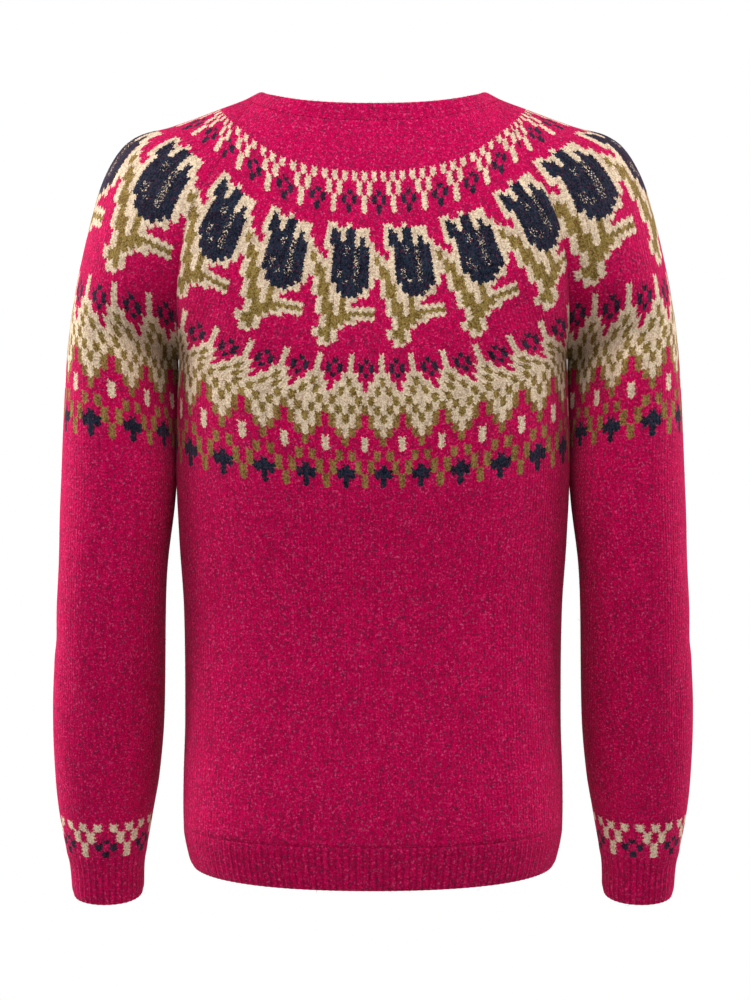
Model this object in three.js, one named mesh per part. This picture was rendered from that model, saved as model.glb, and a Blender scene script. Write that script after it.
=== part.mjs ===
import * as THREE from 'three';
import { mergeVertices } from 'three/addons/utils/BufferGeometryUtils.js';

// A worn fair isle pullover on a hollow general figure, in millimetres with +Z up.
// The back faces -Y, the wearer's right is +X, and the origin lies between the two
// shoulder points of the neck edge, where the wearer's neck and shoulders carry it.
// Every yoke height is counted in rows of knitting, row 0 being the neck edge.

const WALL = 3;
const SEAM_GAP = 0.3;
const FACET_ROOM = 0.15;
const NECK_FACET_ROOM = 0.4;

const BAND_ROW = 4;
const UNDERARM_ROW = 66;
const HEM_RIB_ROW = 158;
const HEM_ROW = 167;
const CUFF_RIB_ROW = 165;
const CUFF_ROW = 175;

const RIB_HEIGHT = 1.1;
const RIBS = { neckband: 96, hem: 84, cuff: 38 };

const WOOL = { color: 0xa81148, roughness: 0.95, metalness: 0 };
const RIB_WOOL = { color: 0x96103f, roughness: 0.95, metalness: 0 };

// Half outline of a panel at each row: the centre line, then the seam at its side with
// the ring's turn there (degrees from +X towards the other panel) and its rise.
// The ring bends round its corner at the depth bendY. The seam is the raglan down to the
// underarm row and the side seam below it.
const BACK = [
  { row: 0, midY: -62, midZ: -18.5, seamX: 80, seamY: -24, seamZ: -5, turn: 66, rise: 0.22, bendY: -52 },
  { row: 4, midY: -67, midZ: -33, seamX: 92, seamY: -25, seamZ: -12, turn: 65, rise: 0.3, bendY: -56 },
  { row: 15, midY: -84, midZ: -73, seamX: 104, seamY: -50, seamZ: -33, turn: 52, rise: 0.5, bendY: -77 },
  { row: 25, midY: -98, midZ: -109, seamX: 114, seamY: -70, seamZ: -62, turn: 38, rise: 0.55, bendY: -90 },
  { row: 34, midY: -107, midZ: -140, seamX: 131, seamY: -84, seamZ: -92, turn: 40, rise: 0.52, bendY: -104 },
  { row: 44, midY: -114, midZ: -175, seamX: 142, seamY: -83, seamZ: -129, turn: 60, rise: 0.42, bendY: -109 },
  { row: 54, midY: -118, midZ: -208, seamX: 147, seamY: -68, seamZ: -165, turn: 80, rise: 0.28, bendY: -100 },
  { row: 60, midY: -118.5, midZ: -228, seamX: 149, seamY: -40, seamZ: -188, turn: 87, rise: 0.14, bendY: -94 },
  { row: 66, midY: -118, midZ: -248, seamX: 149.7, seamY: 0, seamZ: -208, turn: 90, rise: 0, bendY: -102 },
  { row: 84, midY: -113, midZ: -308, seamX: 152, seamY: 0, seamZ: -286, turn: 90, rise: 0, bendY: -92 },
  { row: 100, midY: -104, midZ: -362, seamX: 149.6, seamY: 0, seamZ: -348, turn: 90, rise: 0, bendY: -84 },
  { row: 114, midY: -99, midZ: -410, seamX: 146.2, seamY: 0, seamZ: -400, turn: 90, rise: 0, bendY: -79 },
  { row: 138, midY: -103, midZ: -492, seamX: 145.2, seamY: 0, seamZ: -485, turn: 90, rise: 0, bendY: -81 },
  { row: 150, midY: -107, midZ: -536, seamX: 146.4, seamY: 0, seamZ: -531, turn: 90, rise: 0, bendY: -86 },
  { row: 158, midY: -108, midZ: -571, seamX: 146.2, seamY: 0, seamZ: -565, turn: 90, rise: 0, bendY: -90 },
  { row: 162, midY: -106, midZ: -586, seamX: 144, seamY: 0, seamZ: -580, turn: 90, rise: 0, bendY: -90 },
  { row: 167, midY: -104, midZ: -603, seamX: 140, seamY: 0, seamZ: -596, turn: 90, rise: 0, bendY: -88 },
];

const FRONT = [
  { row: 0, midY: 70, midZ: -60, seamX: 80, seamY: 26, seamZ: -6, turn: 66, rise: 0.45, bendY: 56 },
  { row: 4, midY: 79, midZ: -73, seamX: 92, seamY: 28, seamZ: -14, turn: 65, rise: 0.5, bendY: 63 },
  { row: 15, midY: 96, midZ: -106, seamX: 103, seamY: 52, seamZ: -37, turn: 52, rise: 0.6, bendY: 82 },
  { row: 25, midY: 107, midZ: -137, seamX: 113, seamY: 70, seamZ: -66, turn: 38, rise: 0.6, bendY: 96 },
  { row: 34, midY: 115, midZ: -165, seamX: 128, seamY: 80, seamZ: -96, turn: 40, rise: 0.55, bendY: 105 },
  { row: 44, midY: 121, midZ: -196, seamX: 139, seamY: 78, seamZ: -131, turn: 60, rise: 0.44, bendY: 110 },
  { row: 54, midY: 124, midZ: -226, seamX: 145.5, seamY: 63, seamZ: -166, turn: 80, rise: 0.28, bendY: 102 },
  { row: 60, midY: 124.5, midZ: -244, seamX: 148.6, seamY: 37, seamZ: -188, turn: 87, rise: 0.14, bendY: 97 },
  { row: 66, midY: 124, midZ: -262, seamX: 149.7, seamY: 0, seamZ: -208, turn: 90, rise: 0, bendY: 105 },
  { row: 84, midY: 118, midZ: -318, seamX: 152, seamY: 0, seamZ: -286, turn: 90, rise: 0, bendY: 94 },
  { row: 100, midY: 108, midZ: -368, seamX: 149.6, seamY: 0, seamZ: -348, turn: 90, rise: 0, bendY: 86 },
  { row: 114, midY: 102, midZ: -414, seamX: 146.2, seamY: 0, seamZ: -400, turn: 90, rise: 0, bendY: 80 },
  { row: 138, midY: 101, midZ: -494, seamX: 145.2, seamY: 0, seamZ: -485, turn: 90, rise: 0, bendY: 76 },
  { row: 150, midY: 103, midZ: -537, seamX: 146.4, seamY: 0, seamZ: -531, turn: 90, rise: 0, bendY: 79 },
  { row: 158, midY: 104, midZ: -571, seamX: 146.2, seamY: 0, seamZ: -565, turn: 90, rise: 0, bendY: 82 },
  { row: 162, midY: 102.5, midZ: -586, seamX: 144, seamY: 0, seamZ: -580, turn: 90, rise: 0, bendY: 82 },
  { row: 167, midY: 101, midZ: -603, seamX: 140, seamY: 0, seamZ: -596, turn: 90, rise: 0, bendY: 80 },
];

// Sleeve at each row: its outer line over the shoulder and down the arm, how far the
// ring swings out from there, and the way and reach ("tuck") with which it meets the seam.
// The forearm leans forward, so its sections tilt by "lean" degrees.
const SLEEVE = [
  { row: 0, outerX: 86, outerY: 0, outerZ: 0, leave: 66, swing: 9, tuck: 9, lean: 0 },
  { row: 4, outerX: 98, outerY: 0, outerZ: -6, leave: 65, swing: 9, tuck: 9, lean: 0 },
  { row: 15, outerX: 118, outerY: 0, outerZ: -14, leave: 52, swing: 19, tuck: 19, lean: 0 },
  { row: 25, outerX: 157, outerY: 0, outerZ: -28.5, leave: 32, swing: 32, tuck: 31, lean: 0 },
  { row: 30, outerX: 180, outerY: 0, outerZ: -34.5, leave: 26, swing: 38, tuck: 35, lean: 0 },
  { row: 34, outerX: 194.5, outerY: 0, outerZ: -45, leave: 20, swing: 42, tuck: 39, lean: 0 },
  { row: 40, outerX: 208.2, outerY: 0, outerZ: -68.5, leave: 8, swing: 46, tuck: 42, lean: 0 },
  { row: 47, outerX: 218, outerY: 0, outerZ: -101, leave: -4, swing: 50, tuck: 44, lean: 0 },
  { row: 54, outerX: 226.3, outerY: 0, outerZ: -137, leave: -20, swing: 55, tuck: 46, lean: 0 },
  { row: 60, outerX: 231, outerY: 0, outerZ: -163, leave: -42, swing: 66, tuck: 54, lean: 0 },
  { row: 66, outerX: 234.6, outerY: 0, outerZ: -188, leave: -66, swing: 71, tuck: 86, lean: 0 },
  { row: 72, outerX: 237, outerY: -0.5, outerZ: -213, leave: -75, swing: 73, tuck: 88, lean: 0 },
  { row: 84, outerX: 240, outerY: -2, outerZ: -264, leave: -84, swing: 73, tuck: 80, lean: 0 },
  { row: 97, outerX: 241.8, outerY: -3, outerZ: -316, leave: -90, swing: 70, tuck: 72, lean: 2 },
  { row: 109, outerX: 243, outerY: -2, outerZ: -364, leave: -90, swing: 66, tuck: 66, lean: 6 },
  { row: 117, outerX: 245, outerY: 1, outerZ: -395, leave: -90, swing: 62, tuck: 62, lean: 10 },
  { row: 128, outerX: 248, outerY: 9.5, outerZ: -440, leave: -90, swing: 59, tuck: 59, lean: 12 },
  { row: 140, outerX: 251, outerY: 20, outerZ: -488, leave: -90, swing: 56, tuck: 56, lean: 12 },
  { row: 151, outerX: 250, outerY: 29.5, outerZ: -533, leave: -90, swing: 52, tuck: 52, lean: 12 },
  { row: 158, outerX: 248, outerY: 35.5, outerZ: -560, leave: -90, swing: 48, tuck: 48, lean: 12 },
  { row: 165, outerX: 243.6, outerY: 42, outerZ: -589, leave: -90, swing: 43.5, tuck: 43.5, lean: 12 },
  { row: 169, outerX: 240.4, outerY: 45, outerZ: -604, leave: -90, swing: 40, tuck: 40, lean: 12 },
  { row: 175, outerX: 239, outerY: 50, outerZ: -629, leave: -90, swing: 38.5, tuck: 38.5, lean: 12 },
];

// Inner line of the sleeve below the underarm, where its own seam runs.
const INNER_LINE = [
  { row: 66, innerX: 150, innerZ: -208 },
  { row: 69, innerX: 151.4, innerZ: -219 },
  { row: 84, innerX: 152.9, innerZ: -276 },
  { row: 91, innerX: 153, innerZ: -300 },
  { row: 97, innerX: 153.8, innerZ: -322 },
  { row: 109, innerX: 159, innerZ: -364 },
  { row: 117, innerX: 160.8, innerZ: -395 },
  { row: 140, innerX: 163.8, innerZ: -488 },
  { row: 151, innerX: 168.4, innerZ: -533 },
  { row: 158, innerX: 173.4, innerZ: -560 },
  { row: 165, innerX: 179, innerZ: -589 },
  { row: 169, innerX: 182, innerZ: -604 },
  { row: 175, innerX: 183, innerZ: -629 },
];

// Largest soft folds, as troughs on the surface: where they run, how wide and how deep.
// "across" is a place on the ring, from the seam at one end to the seam at the other.
const FOLDS = [
  { piece: 'sleeve', across: -0.72, drift: 0.1, from: 50, to: 96, width: 0.13, depth: 5 },
  { piece: 'sleeve', across: 0.7, drift: -0.08, from: 52, to: 98, width: 0.14, depth: 4.5 },
  { piece: 'sleeve', across: 0.45, drift: 0.5, from: 102, to: 118, width: 0.2, depth: 3.5 },
  { piece: 'sleeve', across: 0.2, drift: -0.6, from: 112, to: 128, width: 0.18, depth: 2.5 },
  { piece: 'back', across: 0.74, drift: 0.1, from: 40, to: 76, width: 0.1, depth: 3 },
  { piece: 'back', across: -0.76, drift: -0.08, from: 42, to: 74, width: 0.1, depth: 3 },
  { piece: 'front', across: 0.72, drift: 0.12, from: 38, to: 74, width: 0.11, depth: 3.5 },
  { piece: 'front', across: -0.73, drift: -0.1, from: 40, to: 78, width: 0.11, depth: 3.5 },
];

const PANEL_COLUMNS = 20;
const SLEEVE_COLUMNS = 18;
const YOKE_STEPS = [6.5, 9.5, 14, 19, 24, 29, 34, 39, 44, 49, 53, 57, 60, 62.5, 64.5, 66];
const BODY_STEPS = [69, 74, 80, 88, 97, 106, 116, 127, 139, 149];
const ARM_STEPS = [67.5, 70, 74, 80, 87, 94, 101, 108, 115, 123, 132, 141, 150, 158];

const toRadians = THREE.MathUtils.degToRad;

// A smooth curve through one column of a table, by row.
function track(table, column) {
  const slopeAt = (index) => {
    const before = table[Math.max(index - 1, 0)];
    const after = table[Math.min(index + 1, table.length - 1)];
    return (after[column] - before[column]) / (after.row - before.row);
  };
  return (row) => {
    let index = 0;
    while (index < table.length - 2 && row > table[index + 1].row) index += 1;
    const low = table[index];
    const high = table[index + 1];
    const span = high.row - low.row;
    const t = Math.min(Math.max((row - low.row) / span, 0), 1);
    const rest = 1 - t;
    return low[column] * rest * rest * (1 + 2 * t)
      + high[column] * t * t * (3 - 2 * t)
      + slopeAt(index) * span * t * rest * rest
      - slopeAt(index + 1) * span * t * t * rest;
  };
}

function tracks(table) {
  const columns = Object.keys(table[0]).filter((name) => name !== 'row');
  return Object.fromEntries(columns.map((name) => [name, track(table, name)]));
}

const panels = {
  back: { ...tracks(BACK), facing: -1 },
  front: { ...tracks(FRONT), facing: 1 },
};
const sleeve = tracks(SLEEVE);
const innerLine = tracks(INNER_LINE);

function bezier(start, startHandle, endHandle, end, t) {
  const rest = 1 - t;
  return new THREE.Vector3()
    .addScaledVector(start, rest * rest * rest)
    .addScaledVector(startHandle, 3 * rest * rest * t)
    .addScaledVector(endHandle, 3 * rest * t * t)
    .addScaledVector(end, t * t * t);
}

// Unit direction on the ring: its turn in plan, from +X towards the other panel, and rise.
function direction(turn, rise, facing) {
  const level = Math.sqrt(1 - rise * rise);
  const angle = toRadians(turn);
  return new THREE.Vector3(Math.cos(angle) * level, -facing * Math.sin(angle) * level, rise);
}

const CENTRE_REACH = 0.64;

function seamPoint(panel, row) {
  const seamY = row < UNDERARM_ROW ? panel.seamY(row) : 0;
  return new THREE.Vector3(panel.seamX(row), seamY, panel.seamZ(row));
}

// Half arc of a panel, from its centre line (t = 0) to its seam on the +X side (t = 1).
function panelArc(name, row, t) {
  const panel = panels[name];
  const centre = new THREE.Vector3(0, panel.midY(row), panel.midZ(row));
  const seam = seamPoint(panel, row);
  const way = direction(panel.turn(row), panel.rise(row), panel.facing);
  const handle = seam.clone().addScaledVector(way, (panel.bendY(row) - seam.y) / way.y);
  const flat = new THREE.Vector3(CENTRE_REACH * seam.x, 0, 0).add(centre);
  return bezier(centre, flat, handle, seam, t);
}

// Half arc of the right sleeve, from its outer line (t = 0) to the seam on one panel's side.
function sleeveArc(name, row, t) {
  const panel = panels[name];
  const swing = sleeve.swing(row);
  const tilt = Math.tan(toRadians(sleeve.lean(row))) * panel.facing * swing;
  const outer = new THREE.Vector3(sleeve.outerX(row), sleeve.outerY(row), sleeve.outerZ(row));
  const inner = row < UNDERARM_ROW
    ? seamPoint(panel, row)
    : new THREE.Vector3(innerLine.innerX(row), outer.y, innerLine.innerZ(row));
  const outerHandle = new THREE.Vector3(0, panel.facing * swing, tilt).add(outer);
  const innerHandle = direction(sleeve.leave(row), panel.rise(row), panel.facing)
    .multiplyScalar(sleeve.tuck(row)).add(inner);
  innerHandle.z += tilt;
  return bezier(outer, outerHandle, innerHandle, inner, t);
}

// Places t on a half arc at even lengths, kept for each row that has been asked for.
const ARC_SAMPLES = 48;
const arcTables = new Map();

function evenArc(arc, name, row, share) {
  const key = `${arc.name} ${name} ${row}`;
  if (!arcTables.has(key)) {
    const lengths = [0];
    let before = arc(name, row, 0);
    for (let i = 1; i <= ARC_SAMPLES; i += 1) {
      const point = arc(name, row, i / ARC_SAMPLES);
      lengths.push(lengths[i - 1] + point.distanceTo(before));
      before = point;
    }
    arcTables.set(key, lengths);
  }
  const lengths = arcTables.get(key);
  const target = share * lengths[ARC_SAMPLES];
  let index = 0;
  while (index < ARC_SAMPLES - 1 && lengths[index + 1] < target) index += 1;
  const t = (target - lengths[index]) / (lengths[index + 1] - lengths[index]);
  return arc(name, row, (index + t) / ARC_SAMPLES);
}

// "across" is an even share of the arc: -1 to 1 runs from the left to the right seam on
// a panel, and from the back seam over the outer line (0) to the front seam on a sleeve.
function panelSurface(name, across, row) {
  const point = evenArc(panelArc, name, row, Math.abs(across));
  return point.setX(Math.sign(across) * point.x);
}

const surfaces = {
  back: (across, row) => panelSurface('back', across, row),
  front: (across, row) => panelSurface('front', across, row),
  sleeve: (across, row) => evenArc(sleeveArc, across < 0 ? 'back' : 'front', row, Math.abs(across)),
};

// Inward unit normal of a surface. The sign is +1 where across and row give it directly.
const NORMAL_SIGN = { back: 1, front: -1, sleeve: 1 };

function inward(piece, across, row) {
  const step = 0.004;
  const low = Math.max(across - step, -1);
  const high = Math.min(across + step, 1);
  const alongRing = surfaces[piece](high, row).sub(surfaces[piece](low, row));
  const alongColumn = surfaces[piece](across, row + step).sub(surfaces[piece](across, row - step));
  return alongRing.cross(alongColumn).multiplyScalar(NORMAL_SIGN[piece]).normalize();
}

const bell = (value) => Math.exp(-value * value);

function foldDepth(piece, across, row) {
  let depth = 0;
  for (const fold of FOLDS) {
    if (fold.piece !== piece || row < fold.from || row > fold.to) continue;
    const along = (row - fold.from) / (fold.to - fold.from);
    const line = fold.across + fold.drift * (along - 0.5);
    const taper = Math.sin(Math.PI * along) ** 2;
    depth += fold.depth * taper * bell((across - line) / fold.width);
  }
  return depth;
}

// Outer points of a piece with their inward directions, a row of the grid for each row.
function cloth(piece, columns, rows) {
  return rows.map((row) => {
    const line = [];
    for (let column = 0; column <= columns; column += 1) {
      const across = -1 + 2 * column / columns;
      const normal = inward(piece, across, row);
      const point = surfaces[piece](across, row)
        .addScaledVector(normal, foldDepth(piece, across, row));
      line.push({ point, normal });
    }
    return line;
  });
}

// Parts two grids along a shared seam: the edges lean on one mitre and keep the seam gap.
function mitre(gridA, columnA, nextA, gridB, columnB, nextB) {
  const edge = gridA.map((line) => line[columnA].point.clone());
  gridA.forEach((lineA, index) => {
    const lineB = gridB[index];
    const a = lineA[columnA];
    const b = lineB[columnB];
    const before = edge[Math.max(index - 1, 0)];
    const after = edge[Math.min(index + 1, edge.length - 1)];
    const seam = after.clone().sub(before).normalize();
    const awayFromSeam = (next) => {
      const offset = next.clone().sub(edge[index]);
      return offset.addScaledVector(seam, -offset.dot(seam)).normalize();
    };
    const intoA = awayFromSeam(lineA[nextA].point);
    const intoB = awayFromSeam(lineB[nextB].point);
    const lean = a.normal.clone().add(b.normal).sub(intoA).sub(intoB);
    lean.addScaledVector(seam, -lean.dot(seam)).normalize();
    const apart = seam.clone().cross(lean);
    const room = (SEAM_GAP + FACET_ROOM) / 2;
    apart.multiplyScalar(room * Math.sign(apart.dot(intoA.clone().sub(intoB)) || 1));
    a.point = edge[index].clone().add(apart);
    b.point = edge[index].clone().sub(apart);
    a.normal = lean;
    b.normal = lean.clone();
  });
}

// Closed wall from a grid of outer points: outer face, inner face and the rims.
function wall(grid, ring = false) {
  const rows = grid.length;
  const columns = grid[0].length;
  const positions = [];
  for (const line of grid) {
    for (const { point } of line) positions.push(point.x, point.y, point.z);
  }
  for (const line of grid) {
    for (const { point, normal, base } of line) {
      const inner = (base ?? point).clone().addScaledVector(normal, WALL);
      positions.push(inner.x, inner.y, inner.z);
    }
  }
  const indices = [];
  const outer = (row, column) => row * columns + column % columns;
  const inner = (row, column) => rows * columns + outer(row, column);
  const quad = (a, b, c, d) => indices.push(a, b, c, a, c, d);
  const spans = ring ? columns : columns - 1;
  for (let row = 0; row < rows - 1; row += 1) {
    for (let column = 0; column < spans; column += 1) {
      const next = column + 1;
      const face = [outer(row, column), outer(row + 1, column), outer(row + 1, next), outer(row, next)];
      const lining = [inner(row, column), inner(row, next), inner(row + 1, next), inner(row + 1, column)];
      const turn = column < spans / 2 ? 0 : 1;
      quad(...face.slice(turn), ...face.slice(0, turn));
      quad(...lining.slice(turn), ...lining.slice(0, turn));
    }
  }
  for (let column = 0; column < spans; column += 1) {
    const last = rows - 1;
    quad(outer(0, column), outer(0, column + 1), inner(0, column + 1), inner(0, column));
    quad(outer(last, column + 1), outer(last, column), inner(last, column), inner(last, column + 1));
  }
  if (!ring) {
    const last = columns - 1;
    for (let row = 0; row < rows - 1; row += 1) {
      quad(outer(row, 0), inner(row, 0), inner(row + 1, 0), outer(row + 1, 0));
      quad(outer(row, last), outer(row + 1, last), inner(row + 1, last), inner(row, last));
    }
  }
  const geometry = new THREE.BufferGeometry();
  geometry.setAttribute('position', new THREE.Float32BufferAttribute(positions, 3));
  geometry.setIndex(indices);
  return geometry;
}

function flipped(geometry) {
  const index = geometry.getIndex();
  for (let i = 0; i < index.count; i += 3) {
    const keep = index.getX(i);
    index.setX(i, index.getX(i + 1));
    index.setX(i + 1, keep);
  }
  return geometry;
}

// Outline of a ring at one row, as surface samples in order, with their inward normals.
const RING_SAMPLES = 60;

function ringSamples(stretches, row) {
  const samples = [];
  for (const { piece, from, to, mirror } of stretches) {
    for (let i = 0; i < RING_SAMPLES; i += 1) {
      const across = from + (to - from) * (i + 0.5) / RING_SAMPLES;
      const sample = { point: surfaces[piece](across, row), normal: inward(piece, across, row) };
      if (mirror) {
        sample.point.x *= -1;
        sample.normal.x *= -1;
      }
      samples.push(sample);
    }
  }
  return samples;
}

// Evenly spaced points along a sampled ring, every other one raised as a rib.
function ribbedLine(samples, count, closed, lift) {
  const lengths = [0];
  const total = closed ? samples.length : samples.length - 1;
  for (let i = 0; i < total; i += 1) {
    const next = samples[(i + 1) % samples.length];
    lengths.push(lengths[i] + samples[i].point.distanceTo(next.point));
  }
  const line = [];
  const steps = closed ? count : count + 1;
  let index = 0;
  for (let step = 0; step < steps; step += 1) {
    const target = lengths[total] * step / count;
    while (index < total - 1 && lengths[index + 1] < target) index += 1;
    const t = (target - lengths[index]) / (lengths[index + 1] - lengths[index]);
    const low = samples[index];
    const high = samples[(index + 1) % samples.length];
    const base = low.point.clone().lerp(high.point, t);
    const normal = low.normal.clone().lerp(high.normal, t).normalize();
    const point = base.clone().addScaledVector(normal, step % 2 ? -lift : 0);
    line.push({ point, base, normal });
  }
  return line;
}

function ribbing(stretches, ribs, closed, levels) {
  return levels.map(({ row, lift }) => ribbedLine(ringSamples(stretches, row), 2 * ribs, closed, lift));
}

// Each piece ends a little short of the row where its neighbour begins.
const ROW_HEIGHT = 3.4;
const inset = (SEAM_GAP + FACET_ROOM) / 2 / ROW_HEIGHT;
const neckInset = (SEAM_GAP + NECK_FACET_ROOM) / 2 / ROW_HEIGHT;
const panelRows = [BAND_ROW + neckInset, ...YOKE_STEPS, ...BODY_STEPS, HEM_RIB_ROW - inset];
const sleeveRows = [BAND_ROW + neckInset, ...YOKE_STEPS, ...ARM_STEPS, CUFF_RIB_ROW - inset];
const seamRows = YOKE_STEPS.length;

const back = cloth('back', PANEL_COLUMNS, panelRows);
const front = cloth('front', PANEL_COLUMNS, panelRows);
const sleeveRight = cloth('sleeve', SLEEVE_COLUMNS, sleeveRows);
const lastPanel = PANEL_COLUMNS;
const lastSleeve = SLEEVE_COLUMNS;

// Raglan seams on the right, then the side seam and the sleeve's own seam below them.
const upper = (grid) => grid.slice(0, seamRows);
const lower = (grid) => grid.slice(seamRows);
for (const edge of [0, lastSleeve]) sleeveRight[seamRows][edge].point.x += 2 * SEAM_GAP;
mitre(upper(back), lastPanel, lastPanel - 1, upper(sleeveRight), 0, 1);
mitre(upper(front), lastPanel, lastPanel - 1, upper(sleeveRight), lastSleeve, lastSleeve - 1);
mitre(lower(back), lastPanel, lastPanel - 1, lower(front), lastPanel, lastPanel - 1);
mitre(lower(sleeveRight), 0, 1, lower(sleeveRight), lastSleeve, lastSleeve - 1);

const mirrorX = (vector) => vector.clone().setX(-vector.x);

// The left edge of a panel repeats its right edge, and the left sleeve the right one.
for (const grid of [back, front]) {
  for (const line of grid) {
    line[0].point = mirrorX(line[lastPanel].point);
    line[0].normal = mirrorX(line[lastPanel].normal);
  }
}
const sleeveLeft = sleeveRight.map((line) => line.map(({ point, normal }) => (
  { point: mirrorX(point), normal: mirrorX(normal) })));

const group = new THREE.Group();

function addPiece(name, geometry, finish) {
  const welded = mergeVertices(geometry, 1e-4);
  const mesh = new THREE.Mesh(welded, new THREE.MeshStandardMaterial(finish));
  mesh.name = name;
  group.add(mesh);
}

addPiece('back', wall(back), WOOL);
addPiece('front', flipped(wall(front)), WOOL);
addPiece('sleeve_right', wall(sleeveRight), WOOL);
addPiece('sleeve_left', flipped(wall(sleeveLeft)), WOOL);

const NECK_RING = [
  { piece: 'back', from: 0, to: 1 },
  { piece: 'sleeve', from: -1, to: 1 },
  { piece: 'front', from: 1, to: -1 },
  { piece: 'sleeve', from: 1, to: -1, mirror: true },
  { piece: 'back', from: -1, to: 0 },
];
const neckLevels = [
  { row: 0, lift: RIB_HEIGHT },
  { row: BAND_ROW - neckInset, lift: RIB_HEIGHT },
];
addPiece('neckband', wall(ribbing(NECK_RING, RIBS.neckband, true, neckLevels), true), RIB_WOOL);

const hemLevels = [
  { row: HEM_RIB_ROW + inset, lift: RIB_HEIGHT },
  { row: HEM_ROW, lift: RIB_HEIGHT },
];
const EDGE = 1 - 0.001;
const hemBack = ribbing([{ piece: 'back', from: -EDGE, to: EDGE }], RIBS.hem, false, hemLevels);
const hemFront = ribbing([{ piece: 'front', from: -EDGE, to: EDGE }], RIBS.hem, false, hemLevels);
addPiece('hem_rib_back', wall(hemBack), RIB_WOOL);
addPiece('hem_rib_front', flipped(wall(hemFront)), RIB_WOOL);

const cuffLevels = [
  { row: CUFF_RIB_ROW + inset, lift: RIB_HEIGHT },
  { row: CUFF_ROW, lift: RIB_HEIGHT },
];
for (const [name, mirror] of [['cuff_right', false], ['cuff_left', true]]) {
  const round = [{ piece: 'sleeve', from: -1, to: 1, mirror }];
  const geometry = wall(ribbing(round, RIBS.cuff, true, cuffLevels), true);
  addPiece(name, mirror ? flipped(geometry) : geometry, RIB_WOOL);
}

export default group;
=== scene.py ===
import math

import bpy
import numpy as np
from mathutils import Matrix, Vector


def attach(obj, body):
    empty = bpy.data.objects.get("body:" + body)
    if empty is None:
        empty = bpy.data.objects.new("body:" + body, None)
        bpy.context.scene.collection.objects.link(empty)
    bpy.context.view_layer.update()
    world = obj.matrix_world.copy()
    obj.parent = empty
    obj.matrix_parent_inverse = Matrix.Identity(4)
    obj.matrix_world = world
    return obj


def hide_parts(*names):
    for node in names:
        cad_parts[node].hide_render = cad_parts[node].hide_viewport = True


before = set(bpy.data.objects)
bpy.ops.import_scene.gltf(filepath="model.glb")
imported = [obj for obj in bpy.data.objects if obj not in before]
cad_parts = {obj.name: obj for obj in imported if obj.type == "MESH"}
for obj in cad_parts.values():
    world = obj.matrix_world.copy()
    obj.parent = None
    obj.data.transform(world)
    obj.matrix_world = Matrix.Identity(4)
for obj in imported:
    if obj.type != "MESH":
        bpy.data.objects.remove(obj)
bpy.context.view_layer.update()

# A worn fair isle pullover, seen from the back. Sizes are in millimetres until a mesh
# is made. Heights on the cloth are counted in rows of knitting from the neck edge.

MM = 0.001
SEAM_GAP = 0.01

BAND_ROW = 4
UNDERARM_ROW = 66
HEM_RIB_ROW = 158
HEM_ROW = 167
CUFF_RIB_ROW = 165
CUFF_ROW = 175
ROW_HEIGHT = 3.4


def table(columns, lines):
    values = np.array(lines, float)
    return {name: values[:, index] for index, name in enumerate(columns)}


PANEL_COLUMNS = ("row", "mid_y", "mid_z", "seam_x", "seam_y", "seam_z", "turn", "rise", "bend_y")

BACK = table(PANEL_COLUMNS, [
    (0, -62, -18.5, 80, -24, -5, 66, 0.22, -52),
    (4, -67, -33, 92, -25, -12, 65, 0.3, -56),
    (15, -84, -73, 104, -50, -33, 52, 0.5, -77),
    (25, -98, -109, 114, -70, -62, 38, 0.55, -90),
    (34, -107, -140, 131, -84, -92, 40, 0.52, -104),
    (44, -114, -175, 142, -83, -129, 60, 0.42, -109),
    (54, -118, -208, 147, -68, -165, 80, 0.28, -100),
    (60, -118.5, -228, 149, -40, -188, 87, 0.14, -94),
    (66, -118, -248, 149.7, 0, -208, 90, 0, -102),
    (84, -113, -308, 152, 0, -286, 90, 0, -92),
    (100, -104, -362, 149.6, 0, -348, 90, 0, -84),
    (114, -99, -410, 146.2, 0, -400, 90, 0, -79),
    (138, -103, -492, 145.2, 0, -485, 90, 0, -81),
    (150, -107, -536, 146.4, 0, -531, 90, 0, -86),
    (158, -108, -571, 146.2, 0, -565, 90, 0, -90),
    (162, -106, -586, 144, 0, -580, 90, 0, -90),
    (167, -104, -603, 140, 0, -596, 90, 0, -88),
])

FRONT = table(PANEL_COLUMNS, [
    (0, 70, -60, 80, 26, -6, 66, 0.45, 56),
    (4, 79, -73, 92, 28, -14, 65, 0.5, 63),
    (15, 96, -106, 103, 52, -37, 52, 0.6, 82),
    (25, 107, -137, 113, 70, -66, 38, 0.6, 96),
    (34, 115, -165, 128, 80, -96, 40, 0.55, 105),
    (44, 121, -196, 139, 78, -131, 60, 0.44, 110),
    (54, 124, -226, 145.5, 63, -166, 80, 0.28, 102),
    (60, 124.5, -244, 148.6, 37, -188, 87, 0.14, 97),
    (66, 124, -262, 149.7, 0, -208, 90, 0, 105),
    (84, 118, -318, 152, 0, -286, 90, 0, 94),
    (100, 108, -368, 149.6, 0, -348, 90, 0, 86),
    (114, 102, -414, 146.2, 0, -400, 90, 0, 80),
    (138, 101, -494, 145.2, 0, -485, 90, 0, 76),
    (150, 103, -537, 146.4, 0, -531, 90, 0, 79),
    (158, 104, -571, 146.2, 0, -565, 90, 0, 82),
    (162, 102.5, -586, 144, 0, -580, 90, 0, 82),
    (167, 101, -603, 140, 0, -596, 90, 0, 80),
])

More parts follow.
